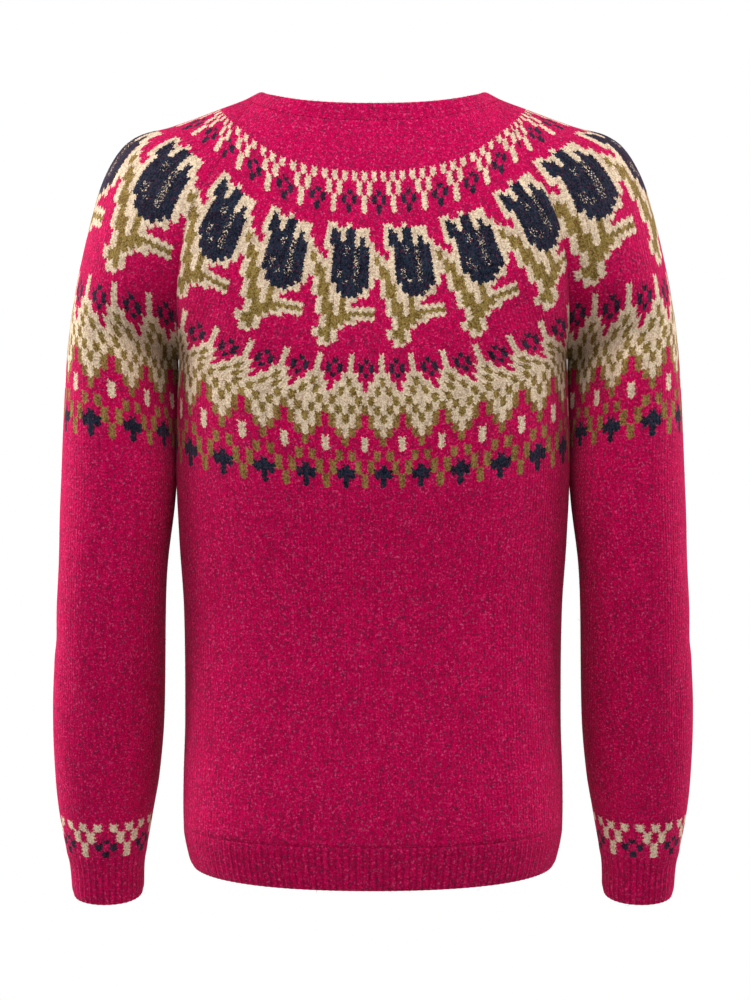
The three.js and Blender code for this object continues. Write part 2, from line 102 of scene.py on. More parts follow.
SLEEVE = table(("row", "outer_x", "outer_y", "outer_z", "leave", "swing", "tuck", "lean"), [
    (0, 86, 0, 0, 66, 9, 9, 0),
    (4, 98, 0, -6, 65, 9, 9, 0),
    (15, 118, 0, -14, 52, 19, 19, 0),
    (25, 157, 0, -28.5, 32, 32, 31, 0),
    (30, 180, 0, -34.5, 26, 38, 35, 0),
    (34, 194.5, 0, -45, 20, 42, 39, 0),
    (40, 208.2, 0, -68.5, 8, 46, 42, 0),
    (47, 218, 0, -101, -4, 50, 44, 0),
    (54, 226.3, 0, -137, -20, 55, 46, 0),
    (60, 231, 0, -163, -42, 66, 54, 0),
    (66, 234.6, 0, -188, -66, 71, 86, 0),
    (72, 237, -0.5, -213, -75, 73, 88, 0),
    (84, 240, -2, -264, -84, 73, 80, 0),
    (97, 241.8, -3, -316, -90, 70, 72, 2),
    (109, 243, -2, -364, -90, 66, 66, 6),
    (117, 245, 1, -395, -90, 62, 62, 10),
    (128, 248, 9.5, -440, -90, 59, 59, 12),
    (140, 251, 20, -488, -90, 56, 56, 12),
    (151, 250, 29.5, -533, -90, 52, 52, 12),
    (158, 248, 35.5, -560, -90, 48, 48, 12),
    (165, 243.6, 42, -589, -90, 43.5, 43.5, 12),
    (169, 240.4, 45, -604, -90, 40, 40, 12),
    (175, 239, 50, -629, -90, 38.5, 38.5, 12),
])

INNER_LINE = table(("row", "inner_x", "inner_z"), [
    (66, 150, -208),
    (69, 150.2, -219),
    (84, 152.1, -276),
    (91, 151.95, -300),
    (97, 153.8, -322),
    (109, 159, -364),
    (117, 160.8, -395),
    (140, 163.8, -488),
    (151, 168.4, -533),
    (158, 173.4, -560),
    (165, 179, -589),
    (169, 182, -604),
    (175, 183, -629),
])

# Soft folds as troughs: where they cross the ring, how they drift from their first to
# their last row, how wide they are on the ring and how deep.
FOLD_COLUMNS = ("across", "drift", "first", "last", "width", "depth")

SLEEVE_FOLDS = table(FOLD_COLUMNS, [
    (-0.72, 0.1, 50, 96, 0.13, 4),
    (-0.92, 0.06, 42, 82, 0.08, 4.5),
    (0.7, -0.08, 52, 98, 0.14, 4.5),
    (0.45, 0.5, 102, 118, 0.2, 3.5),
    (0.2, -0.6, 112, 128, 0.18, 2.5),
    (-0.5, 0.34, 84, 126, 0.06, 1.1),
    (-0.3, -0.3, 118, 150, 0.07, 1.3),
    (-0.62, 0.3, 128, 160, 0.06, 1.2),
    (0.05, 0.25, 132, 162, 0.08, 1.0),
    (0.5, -0.3, 124, 158, 0.07, 1.2),
    (-0.12, 0.16, 62, 104, 0.07, 0.9),
    (0.3, 0.2, 70, 112, 0.07, 1.0),
])

BACK_FOLDS = table(FOLD_COLUMNS, [
    (0.74, 0.1, 40, 76, 0.1, 3),
    (-0.76, -0.08, 42, 74, 0.1, 3),
    (0.6, -0.14, 74, 140, 0.06, 1.2),
    (-0.56, 0.1, 80, 134, 0.05, 1.0),
    (-0.3, -0.12, 112, 157, 0.06, 0.9),
    (0.2, 0.16, 104, 157, 0.07, 1.1),
    (0.42, 0.06, 126, 158, 0.05, 0.9),
    (-0.84, 0.06, 96, 150, 0.05, 1.2),
    (0.86, -0.04, 104, 156, 0.05, 1.3),
    (0.02, -0.1, 6, 30, 0.12, 0.8),
])

FRONT_FOLDS = table(FOLD_COLUMNS, [
    (0.72, 0.12, 38, 74, 0.11, 3.5),
    (-0.73, -0.1, 40, 78, 0.11, 3.5),
    (-0.6, 0.12, 78, 136, 0.06, 1.2),
    (0.54, -0.1, 84, 142, 0.05, 1.1),
    (0.28, 0.14, 108, 157, 0.06, 1.0),
    (-0.2, -0.14, 100, 156, 0.07, 1.1),
    (-0.44, -0.04, 128, 158, 0.05, 0.9),
    (0.85, -0.05, 92, 152, 0.05, 1.2),
    (-0.87, 0.04, 102, 156, 0.05, 1.2),
])

FOLDS = {"back": BACK_FOLDS, "front": FRONT_FOLDS, "sleeve": SLEEVE_FOLDS}


# Surfaces of the cloth

def track(source, name, row):
    """A smooth curve through one column of a table, read at each row asked for."""
    rows, values = source["row"], source[name]
    slopes = np.empty_like(values)
    slopes[1:-1] = (values[2:] - values[:-2]) / (rows[2:] - rows[:-2])
    slopes[0] = (values[1] - values[0]) / (rows[1] - rows[0])
    slopes[-1] = (values[-1] - values[-2]) / (rows[-1] - rows[-2])
    index = np.clip(np.searchsorted(rows, row, side="left") - 1, 0, len(rows) - 2)
    span = rows[index + 1] - rows[index]
    t = np.clip((row - rows[index]) / span, 0, 1)
    rest = 1 - t
    return (values[index] * rest * rest * (1 + 2 * t)
            + values[index + 1] * t * t * (3 - 2 * t)
            + slopes[index] * span * t * rest * rest
            - slopes[index + 1] * span * t * t * rest)


def points(x, y, z):
    return np.stack(np.broadcast_arrays(x, y, z), axis=-1).astype(float)


def direction(turn, rise, facing):
    level = np.sqrt(1 - rise * rise)
    angle = np.radians(turn)
    return points(np.cos(angle) * level, -facing * np.sin(angle) * level, rise)


def seam_points(panel, row):
    seam_y = np.where(row < UNDERARM_ROW, track(panel, "seam_y", row), 0)
    return points(track(panel, "seam_x", row), seam_y, track(panel, "seam_z", row))


CENTRE_REACH = 0.64


def panel_controls(name, row):
    """Centre line, flat handle, corner handle and seam of a panel's half arc at each row."""
    panel, facing = (BACK, -1) if name == "back" else (FRONT, 1)
    centre = points(0, track(panel, "mid_y", row), track(panel, "mid_z", row))
    seam = seam_points(panel, row)
    way = direction(track(panel, "turn", row), track(panel, "rise", row), facing)
    reach = (track(panel, "bend_y", row) - seam[:, 1]) / way[:, 1]
    flat = centre + points(CENTRE_REACH * seam[:, 0], 0, 0)
    return centre, flat, seam + way * reach[:, None], seam


def sleeve_controls(name, row):
    """Outer line, its handle, the seam's handle and the seam of a sleeve's half arc."""
    panel, facing = (BACK, -1) if name == "back" else (FRONT, 1)
    swing = track(SLEEVE, "swing", row)
    tilt = np.tan(np.radians(track(SLEEVE, "lean", row))) * facing * swing
    outer = points(*(track(SLEEVE, key, row) for key in ("outer_x", "outer_y", "outer_z")))
    own = points(track(INNER_LINE, "inner_x", row), outer[:, 1], track(INNER_LINE, "inner_z", row))
    inner = np.where((row < UNDERARM_ROW)[:, None], seam_points(panel, row), own)
    way = direction(track(SLEEVE, "leave", row), track(panel, "rise", row), facing)
    inner_handle = inner + way * track(SLEEVE, "tuck", row)[:, None] + points(0, 0, tilt)
    return outer, outer + points(0, facing * swing, tilt), inner_handle, inner


def bezier(controls, t):
    start, start_handle, end_handle, end = (c[:, None, :] for c in controls)
    t = t[..., None]
    rest = 1 - t
    return (start * rest ** 3 + start_handle * 3 * rest * rest * t
            + end_handle * 3 * rest * t * t + end * t ** 3)


ARC_SAMPLES = 96


def half_arcs(controls, share):
    """Points at even shares of the length of each row's half arc, and the lengths."""
    steps = np.linspace(0, 1, ARC_SAMPLES + 1)
    sampled = bezier(controls, np.broadcast_to(steps, (len(controls[0]), len(steps))))
    pieces = np.linalg.norm(np.diff(sampled, axis=1), axis=2)
    lengths = np.concatenate([np.zeros((len(pieces), 1)), np.cumsum(pieces, axis=1)], axis=1)
    t = np.stack([np.interp(share * line[-1], line, steps) for line in lengths])
    return bezier(controls, t), lengths[:, -1]


def surface(piece, across, row):
    """Grid of points, one line for each row. Across runs from -1 to 1 between the seams."""
    across, row = np.asarray(across, float), np.asarray(row, float)
    if piece == "sleeve":
        behind, length_behind = half_arcs(sleeve_controls("back", row), np.abs(across))
        ahead, length_ahead = half_arcs(sleeve_controls("front", row), np.abs(across))
        before = across < 0
        grid = np.where(before[None, :, None], behind, ahead)
        length = np.where(before[None, :], length_behind[:, None], length_ahead[:, None])
        return grid, length
    grid, length = half_arcs(panel_controls(piece, row), np.abs(across))
    grid[..., 0] *= np.sign(across)[None, :]
    return grid, np.broadcast_to(length[:, None], grid.shape[:2])


NORMAL_SIGN = {"back": 1, "front": -1, "sleeve": 1}


def unit(vectors):
    return vectors / np.maximum(np.linalg.norm(vectors, axis=-1, keepdims=True), 1e-9)


def inward(piece, grid):
    """Inward unit normals of a grid of points."""
    along_ring = np.gradient(grid, axis=1)
    along_column = np.gradient(grid, axis=0)
    return unit(np.cross(along_ring, along_column)) * NORMAL_SIGN[piece]


def fold_depth(piece, across, row):
    folds = FOLDS[piece]
    depth = np.zeros((len(row), len(across)))
    for index in range(len(folds["across"])):
        fold = {name: column[index] for name, column in folds.items()}
        along = (row - fold["first"]) / (fold["last"] - fold["first"])
        taper = np.where((along > 0) & (along < 1), np.sin(np.pi * np.clip(along, 0, 1)) ** 2, 0)
        line = fold["across"] + fold["drift"] * (along - 0.5)
        away = (across[None, :] - line[:, None]) / fold["width"]
        depth += fold["depth"] * taper[:, None] * np.exp(-away * away)
    return depth


SEAM_SINK = 0.5
SEAM_WIDTH = 1.5


def cloth(piece, columns, rows):
    """Outer points with their inward normals, folds and sunk seam edges included."""
    even = np.linspace(-1, 1, columns + 1)
    across = np.sign(even) * (1 - (1 - np.abs(even)) ** 1.06)
    grid, length = surface(piece, across, rows)
    normal = inward(piece, grid)
    from_seam = (1 - np.abs(across))[None, :] * length
    sink = SEAM_SINK * np.exp(-(from_seam / SEAM_WIDTH) ** 2)
    grid = grid + normal * (fold_depth(piece, across, rows) + sink)[..., None]
    return {"across": across, "rows": rows, "grid": grid, "normal": normal}


def mitre(a, column_a, next_a, b, column_b, next_b, part):
    """Parts two cloths along a shared seam and leans both rims on one mitre."""
    edge = a["grid"][part, column_a].copy()
    edge_b = b["grid"][part, column_b].copy()
    middle = (edge + edge_b) / 2
    seam = unit(np.gradient(middle, axis=0))

    def away(side, column):
        offset = side["grid"][part, column] - middle
        return unit(offset - seam * np.sum(offset * seam, axis=1, keepdims=True))

    into_a, into_b = away(a, next_a), away(b, next_b)
    lean = a["normal"][part, column_a] + b["normal"][part, column_b] - into_a - into_b
    lean = unit(lean - seam * np.sum(lean * seam, axis=1, keepdims=True))
    apart = np.cross(seam, lean)
    side = np.sign(np.sum(apart * (into_a - into_b), axis=1, keepdims=True))
    apart *= side * SEAM_GAP / 2
    a["grid"][part, column_a] = middle + apart
    b["grid"][part, column_b] = middle - apart
    a["normal"][part, column_a] = lean
    b["normal"][part, column_b] = lean


# Meshes

def build_mesh(name, vertices, faces, stitch, rounded):
    """A mesh of four-sided faces. The first of them, up to rounded, are shaded smooth."""
    mesh = bpy.data.meshes.new(name)
    mesh.vertices.add(len(vertices))
    mesh.vertices.foreach_set("co", (np.asarray(vertices) * MM).astype(np.float32).ravel())
    corners = np.asarray(faces, np.int32)
    mesh.loops.add(corners.size)
    mesh.loops.foreach_set("vertex_index", corners.ravel())
    mesh.polygons.add(len(corners))
    mesh.polygons.foreach_set("loop_start", np.arange(0, corners.size, 4, dtype=np.int32))
    mesh.update(calc_edges=True)
    attribute = mesh.attributes.new("stitch", "FLOAT_VECTOR", "POINT")
    attribute.data.foreach_set("vector", np.asarray(stitch, np.float32).ravel())
    mesh.polygons.foreach_set("use_smooth", np.arange(len(corners)) < rounded)
    mesh.validate()
    obj = bpy.data.objects.new(name, mesh)
    bpy.context.scene.collection.objects.link(obj)
    return obj


THICKNESS = 2.4


def shell(name, side, ring=False, flip=False, thickness=THICKNESS):
    """Closed thin shell on a cloth: outer face, lining and rims. Across runs to the right
    as seen from outside on every piece, so that all the motifs face one way round."""
    grid, normal = side["grid"], side["normal"]
    rows, columns = grid.shape[:2]
    vertices = np.concatenate([grid.reshape(-1, 3), (grid + normal * thickness).reshape(-1, 3)])
    across, row = np.meshgrid(side["across"] * (-1 if flip else 1), side["rows"])
    stitch = np.stack([across.ravel(), row.ravel(), np.zeros(across.size)], axis=1)
    lining = stitch.copy()
    lining[:, 2] = 1
    stitch = np.concatenate([stitch, lining])
    spans = columns if ring else columns - 1
    r, c = np.meshgrid(np.arange(rows - 1), np.arange(spans), indexing="ij")
    r, c = r.ravel(), c.ravel()
    after = (c + 1) % columns
    inside = rows * columns
    outer = np.stack([r * columns + c, (r + 1) * columns + c,
                      (r + 1) * columns + after, r * columns + after], axis=1)
    inner = outer[:, ::-1] + inside
    c = np.arange(spans)
    after = (c + 1) % columns
    top = np.stack([c, after, after + inside, c + inside], axis=1)
    low = (rows - 1) * columns
    bottom = np.stack([low + after, low + c, low + c + inside, low + after + inside], axis=1)
    faces = [outer, inner, top, bottom]
    if not ring:
        r = np.arange(rows - 1)
        last = columns - 1
        faces.append(np.stack([(r + 1) * columns, r * columns, r * columns + inside,
                               (r + 1) * columns + inside], axis=1))
        faces.append(np.stack([r * columns + last, (r + 1) * columns + last,
                               (r + 1) * columns + last + inside, r * columns + last + inside], axis=1))
    faces = np.concatenate(faces)
    if flip:
        faces = faces[:, ::-1]
    return build_mesh(name, vertices, faces, stitch, len(outer) + len(inner))


def mirrored(side):
    return {"across": side["across"], "rows": side["rows"],
            "grid": side["grid"] * (-1, 1, 1), "normal": side["normal"] * (-1, 1, 1)}


PANEL_SPANS = 132
SLEEVE_SPANS = 108

inset = SEAM_GAP / 2 / ROW_HEIGHT
yoke = np.concatenate([np.linspace(BAND_ROW + inset, UNDERARM_ROW, 88)[:-1]])
below = np.linspace(UNDERARM_ROW, HEM_RIB_ROW - inset, 104)
arm = np.linspace(UNDERARM_ROW, CUFF_RIB_ROW - inset, 118)

back = cloth("back", PANEL_SPANS, np.concatenate([yoke, below]))
front = cloth("front", PANEL_SPANS, np.concatenate([yoke, below]))
right = cloth("sleeve", SLEEVE_SPANS, np.concatenate([yoke, arm]))

upper, lower = slice(0, len(yoke)), slice(len(yoke), None)
mitre(back, -1, -2, right, 0, 1, upper)
mitre(front, -1, -2, right, -1, -2, upper)
mitre(back, -1, -2, front, -1, -2, lower)
mitre(right, 0, 1, right, -1, -2, lower)
for side in (back, front):
    side["grid"][:, 0] = side["grid"][:, -1] * (-1, 1, 1)
    side["normal"][:, 0] = side["normal"][:, -1] * (-1, 1, 1)

# Ribbed bands: knit columns raised, purl columns sunk between them, half felted shut.
RIB_HEIGHT = 0.4
NECK_RIB_HEIGHT = 0.25
RIB_THICKNESS = 2.2


def ring_samples(stretches, row, samples=220):
    grids, normals = [], []
    for piece, first, last, mirror in stretches:
        edge = first + (last - first) * (np.arange(samples) + 0.5) / samples
        lines = np.array([row - 0.02, row, row + 0.02])
        grid, _ = surface(piece, edge, lines)
        normal = inward(piece, grid)[1] * (1 if last > first else -1)
        line = grid[1]
        if mirror:
            line, normal = line * (-1, 1, 1), normal * (-1, 1, 1)
        grids.append(line)
        normals.append(normal)
    return np.concatenate(grids), np.concatenate(normals)


def rib_band(stretches, band, ribs, closed, per_rib=6, height=RIB_HEIGHT):
    """Points of a ribbed band."""
    rows, lift, growth = band
    count = ribs * per_rib
    grid, normal, base = [], [], []
    for row, extra, grown in zip(rows, lift, growth):
        line, way = ring_samples(stretches, row)
        if closed:
            line, way = np.vstack([line, line[:1]]), np.vstack([way, way[:1]])
        length = np.concatenate([[0], np.cumsum(np.linalg.norm(np.diff(line, axis=0), axis=1))])
        steps = np.linspace(0, length[-1], count + 1)[:None if not closed else -1]
        place = np.stack([np.interp(steps, length, line[:, k]) for k in range(3)], axis=1)
        lean = unit(np.stack([np.interp(steps, length, way[:, k]) for k in range(3)], axis=1))
        wave = 0.5 - 0.5 * np.cos(2 * np.pi * np.arange(len(steps)) / per_rib)
        raised = height * grown * wave ** 0.8 + extra
        grid.append(place - lean * raised[:, None])
        normal.append(lean)
        base.append(place)
    grid, normal, base = np.array(grid), np.array(normal), np.array(base)
    count_across = np.arange(grid.shape[1]) / per_rib
    return {"across": count_across, "rows": np.asarray(rows, float), "grid": grid,
            "normal": (base + normal * RIB_THICKNESS - grid) / RIB_THICKNESS}


def band_rows(first, last, steps):
    """Rows of a band, how far its face rolls in at the free edge, and how its ribs grow."""
    rows = np.linspace(first, last, steps)
    near = np.abs(rows - last) / abs(last - first)
    return rows, -1.2 * np.exp(-(near / 0.09) ** 2), np.clip(np.abs(rows - first) / 1.5, 0, 1)


NECK_RING = [("back", 0, 1, False), ("sleeve", -1, 1, False), ("front", 1, -1, False),
             ("sleeve", 1, -1, True), ("back", -1, 0, False)]
neck_band = [line[::-1] for line in band_rows(BAND_ROW - inset, 0, 12)]
neckband = rib_band(NECK_RING, neck_band, 96, True, height=NECK_RIB_HEIGHT)
hem_band = band_rows(HEM_RIB_ROW + inset, HEM_ROW, 18)
hem_back = rib_band([("back", -0.999, 0.999, False)], hem_band, 84, False, 5)
hem_front = rib_band([("front", -0.999, 0.999, False)], hem_band, 84, False, 5)
cuff = rib_band([("sleeve", -1, 1, False)], band_rows(CUFF_RIB_ROW + inset, CUFF_ROW, 18), 38, True)

pieces = {
    "knit_back": shell("knit_back", back),
    "knit_front": shell("knit_front", front, flip=True),
    "knit_sleeve_right": shell("knit_sleeve_right", right),
    "knit_sleeve_left": shell("knit_sleeve_left", mirrored(right), flip=True),
    "rib_neck": shell("rib_neck", neckband, ring=True, thickness=RIB_THICKNESS),
    "rib_hem_back": shell("rib_hem_back", hem_back, thickness=RIB_THICKNESS),
    "rib_hem_front": shell("rib_hem_front", hem_front, flip=True, thickness=RIB_THICKNESS),
    "rib_cuff_right": shell("rib_cuff_right", cuff, ring=True, thickness=RIB_THICKNESS),
    "rib_cuff_left": shell("rib_cuff_left", mirrored(cuff), ring=True, flip=True,
                           thickness=RIB_THICKNESS),
}
CLOTHS = {
    "knit_back": back, "knit_front": front, "knit_sleeve_right": right, "knit_sleeve_left": right,
    "rib_neck": neckband, "rib_hem_back": hem_back, "rib_hem_front": hem_front,
    "rib_cuff_right": cuff, "rib_cuff_left": cuff,
}
RINGS = {"rib_neck", "rib_cuff_right", "rib_cuff_left"}
STANDS_FOR = {
    "knit_back": "back", "knit_front": "front", "knit_sleeve_right": "sleeve_right",
    "knit_sleeve_left": "sleeve_left", "rib_neck": "neckband", "rib_hem_back": "hem_rib_back",
    "rib_hem_front": "hem_rib_front", "rib_cuff_right": "cuff_right", "rib_cuff_left": "cuff_left",
}


# Material maths

class Wire:
    """One output of a material's node, with arithmetic that adds the nodes for it."""

    def __init__(self, paint, socket):
        self.paint, self.socket = paint, socket

    def maths(self, operation, *values, clamp=False):
        settings = {"operation": operation, "use_clamp": clamp}
        return self.paint.node("ShaderNodeMath", settings, dict(enumerate(values)))

    def __add__(self, other):
        return self.maths("ADD", self, other)

    def __radd__(self, other):
        return self.maths("ADD", other, self)

    def __sub__(self, other):
        return self.maths("SUBTRACT", self, other)

    def __rsub__(self, other):
        return self.maths("SUBTRACT", other, self)

    def __mul__(self, other):
        return self.maths("MULTIPLY", self, other)

    def __rmul__(self, other):
        return self.maths("MULTIPLY", other, self)

    def __truediv__(self, other):
        return self.maths("DIVIDE", self, other)

    def floored(self):
        return self.maths("FLOOR", self)

    def part(self):
        return self.maths("FRACT", self)

    def size(self):
        return self.maths("ABSOLUTE", self)

    def past(self, other):
        return self.maths("GREATER_THAN", self, other)

    def short_of(self, other):
        return self.maths("LESS_THAN", self, other)

    def wrapped(self, width):
        return self.maths("FLOORED_MODULO", self, width)

    def held(self):
        return self.maths("ADD", self, 0.0, clamp=True)

    def eased(self, low, high):
        """0 below low, 1 above high, smooth between them."""
        settings = {"interpolation_type": "SMOOTHSTEP"}
        inputs = {"Value": self, "From Min": low, "From Max": high}
        return self.paint.node("ShaderNodeMapRange", settings, inputs)


class Paint:
    """A material being made."""

    def __init__(self, name):
        self.material = bpy.data.materials.new(name)
        self.material.use_nodes = True
        self.tree = self.material.node_tree
        self.tree.nodes.clear()

    def node(self, kind, settings=None, inputs=None, output=0):
        made = self.tree.nodes.new(kind)
        for key, value in (settings or {}).items():
            setattr(made, key, value)
        for key, value in (inputs or {}).items():
            if isinstance(value, Wire):
                self.tree.links.new(value.socket, made.inputs[key])
            else:
                made.inputs[key].default_value = value
        return Wire(self, made.outputs[output]) if made.outputs else None

    def mix(self, amount, first, second):
        settings = {"data_type": "RGBA"}
        return self.node("ShaderNodeMix", settings, {0: amount, 6: first, 7: second}, 2)

    def noise(self, vector, scale, detail=2.0, rough=0.5):
        inputs = {"Vector": vector, "Scale": scale, "Detail": detail, "Roughness": rough}
        return self.node("ShaderNodeTexNoise", None, inputs)

    def steps(self, place, stops):
        """A ramp of flat steps. Stops are (place, colour), from the lowest up."""
        wire = self.node("ShaderNodeValToRGB", None, {0: place})
        ramp = wire.socket.node.color_ramp
        ramp.interpolation = "CONSTANT"
        ramp.elements[0].position = 0
        ramp.elements[0].color = stops[0][1]
        ramp.elements.remove(ramp.elements[-1])
        for position, colour in stops[1:]:
            element = ramp.elements.new(position)
            element.color = colour
        return wire


# Charts, read downwards: cream, olive, navy, p for navy with specks of cream, and o and V
# for olive and navy with the pink felted in

YARNS = {".": (0, 0, 0, 1), "C": (1, 0, 0, 1), "O": (0, 1, 0, 1), "N": (0, 0, 1, 1),
         "p": (0.38, 0, 0.6, 1), "o": (0, 0.93, 0, 1), "V": (0, 0, 0.52, 1)}

CHECK_BAND = [
    "C.C.C.",
    "C.C.C.",
    ".C.C..",
    ".C.C..",
    ".C.C.V",
    "V.C.V.",
    "V.C.V.",
    "..C..V",
    "..C..V",
]

TULIPS = [
    "..CC..C.....",
    "..CNCCNNCCC.",
    "..CNNCNNCCC.",
    "..CNNCNNCNC.",
    "..CNNNNNCNCC",
    "..CCNNpNpNNC",
    "C..CNNpNpNNC",
    "OC.CNNNNpNNC",
    "OCCCNNNNpNNC",
    "COCCNNNNpNNC",
    "COOCNpNNpNNC",
    "COOCNpNNpNNC",
    ".COCNNpNpNNC",
    ".COOCNNNNNNC",
    ".COOCNNNNNC.",
    ".COOCCNNNCC.",
    "..COCCOCC...",
    "..COOCOC....",
    "..COOCOCCCCC",
    "..COOCOOOOOO",
    "...COOOOCCCC",
    "...COOOCC...",
    "...COOC.....",
    "..COOC......",
    "..COOC......",
    "...COC......",
    "...CC.......",
]

LATTICE = [
    "C.....",
    "C..V..",
    "C.V.V.",
    "C.V.V.",
    "CC.V.C",
    "OC...C",
    "OCC.CC",
    "COC.CO",
    "COCCCO",
    "CCOCOC",
    "CCOCOC",
    "COCOCO",
    "COCOCO",
    "OCO.OC",
    "OCo.oC",
    "CCo.oC",
    "Co...o",
    "Co...o",
    "o..C..",
    "o..C..",
    "...C..",
    ".o...o",
    ".o...o",
    "..o.o.",
    "N.o.o.",
    "NNo.oN",
    "NN.o.N",
    "N..o..",
    "N..o..",
]

CHECK_ROW, TULIP_ROW, LATTICE_ROW = 15.2, 26.5, 55.0
CUFF_BAND_ROW, CUFF_BAND_HEIGHT = 158.3, 6.8

# For each band: repeats on half a piece at its middle, how much fewer they get towards a
# seam, the stitch of the repeat that falls on the piece's middle, and the share by which
# the repeats spread with each row.
LAYOUTS = {
    "panel": {"shift": 0.035, "check": (6.1, 1.2, 5.5, 0), "tulip": (3.43, 0.42, 1.1, 0.0028),
              "lattice": (8.4, 2.0, 0.5, 0)},
    "sleeve_right": {"shift": 0, "check": (3.0, 0, 0.8, 0), "tulip": (1.79, 0, 10.7, 0),
                     "lattice": (4.7, 0, 0.3, 0), "cuff": (3.2, 0, 4.7, 0)},
    "sleeve_left": {"shift": 0, "check": (3.0, 0, 4.0, 0), "tulip": (1.79, 0, 3.6, 0),
                    "lattice": (4.7, 0, 1.1, 0), "cuff": (3.2, 0, 1.35, 0)},
}


def chart_masks(paint, chart, column, line):
    """Yarns of a chart at a column and a line, as a colour: cream, olive and navy."""
    width, height = len(chart[0]), len(chart)
    place = line / height
    index = column.wrapped(width)
    found = None
    for k in range(width):
        letters = [row[k] for row in chart]
        stops = [(0.0, YARNS[letters[0]])]
        for i in range(1, height):
            if letters[i] != letters[i - 1]:
                stops.append((i / height, YARNS[letters[i]]))
        yarn = paint.steps(place, stops)
        found = yarn if found is None else paint.mix(index.past(k), found, yarn)
    inside = place.past(0.0) * place.short_of(1.0)
    return paint.mix(inside, (0, 0, 0, 1), found)


def split(paint, colour):
    node = paint.node("ShaderNodeSeparateColor", None, {0: colour}).socket.node
    return [Wire(paint, node.outputs[k]) for k in range(3)]


# The deepest pink is painted shade. It is mixed into the ribbed bands to stand for the shade between their
# ribs.
PINK_RIB_SHADE = (0.13, 0.001, 0.02, 1)
HEATHER_DARK, HEATHER_LIGHT = (0.09, 0.01, 0.04, 1), (0.8, 0.14, 0.32, 1)
PINK_DARK, PINK, PINK_LIGHT = (0.3, 0.0004, 0.04, 1), (0.58, 0.0008, 0.08, 1), (0.85, 0.11, 0.3, 1)
CREAM_DARK, CREAM = (0.36, 0.26, 0.18, 1), (0.78, 0.63, 0.45, 1)
OLIVE_DARK, OLIVE = (0.08, 0.045, 0.008, 1), (0.31, 0.22, 0.065, 1)
NAVY_DARK, NAVY = (0.002, 0.003, 0.007, 1), (0.018, 0.03, 0.05, 1)


